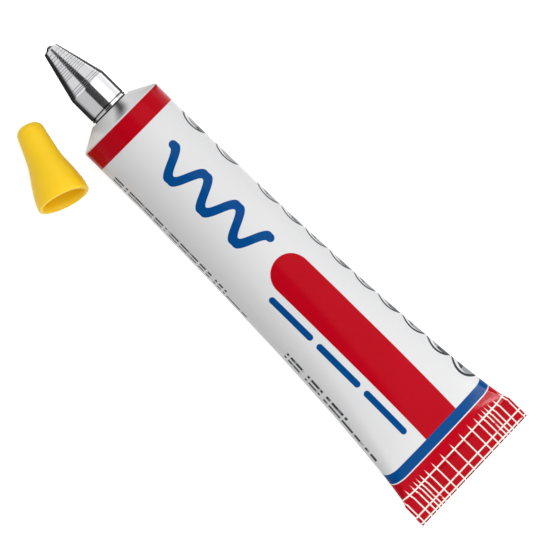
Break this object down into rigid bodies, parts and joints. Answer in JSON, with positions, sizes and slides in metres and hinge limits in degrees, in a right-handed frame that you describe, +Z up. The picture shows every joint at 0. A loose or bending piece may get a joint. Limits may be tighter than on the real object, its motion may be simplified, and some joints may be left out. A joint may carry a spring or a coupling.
{
  "type": "paint marker",
  "caption": "Ball-tip paint marker: collapsible metal tube with folded tail, turned nozzle holding a sprung writing ball, and a push-on cap lying beside it.",
  "frame": {"origin": "middle of the underside of the marker and its cap as they lie on the floor", "axes": "+X along the marker from nozzle to tail, +Z up, out of the printed face"},
  "size_m": [0.1684, 0.0556, 0.0288],
  "materials": {
    "tube_enamel": "gloss",
    "sealant": "matte",
    "paint": "gloss",
    "gasket": "matte",
    "nozzle_metal": "polished",
    "valve_metal": "satin",
    "spring_wire": "satin",
    "pusher_plastic": "satin",
    "ball_steel": "polished",
    "cap_plastic": "satin"
  },
  "bodies": {
    "marker": {"tube": "tube_enamel", "tail_sealant": "sealant", "paint_charge": "paint", "neck_gasket": "gasket", "nozzle": "nozzle_metal", "spring_plug": "valve_metal", "ball_spring": "spring_wire"},
    "pusher": {"ball_pusher": "pusher_plastic"},
    "ball": {"writing_ball": "ball_steel"},
    "cap": {"cap": "cap_plastic"}
  },
  "joints": [
    {"name": "ball_press", "type": "slide", "parent": "marker", "child": "pusher", "axis": [0.999, 0, -0.0436], "range_m": [0, 0.0004], "stiffness_N_per_m": 250, "springref_m": -0.0016, "deforming": ["ball_spring"]},
    {"name": "ball_roll", "type": "hinge", "parent": "pusher", "child": "ball", "pos_m": [-0.08299, 0.00581, 0.01602], "axis": [0, 1, 0], "continuous": true},
    {"name": "cap_lift", "type": "slide", "parent": "marker", "child": "cap", "axis": [0, 0, 1], "range_m": [0, 0.05]}
  ]
}
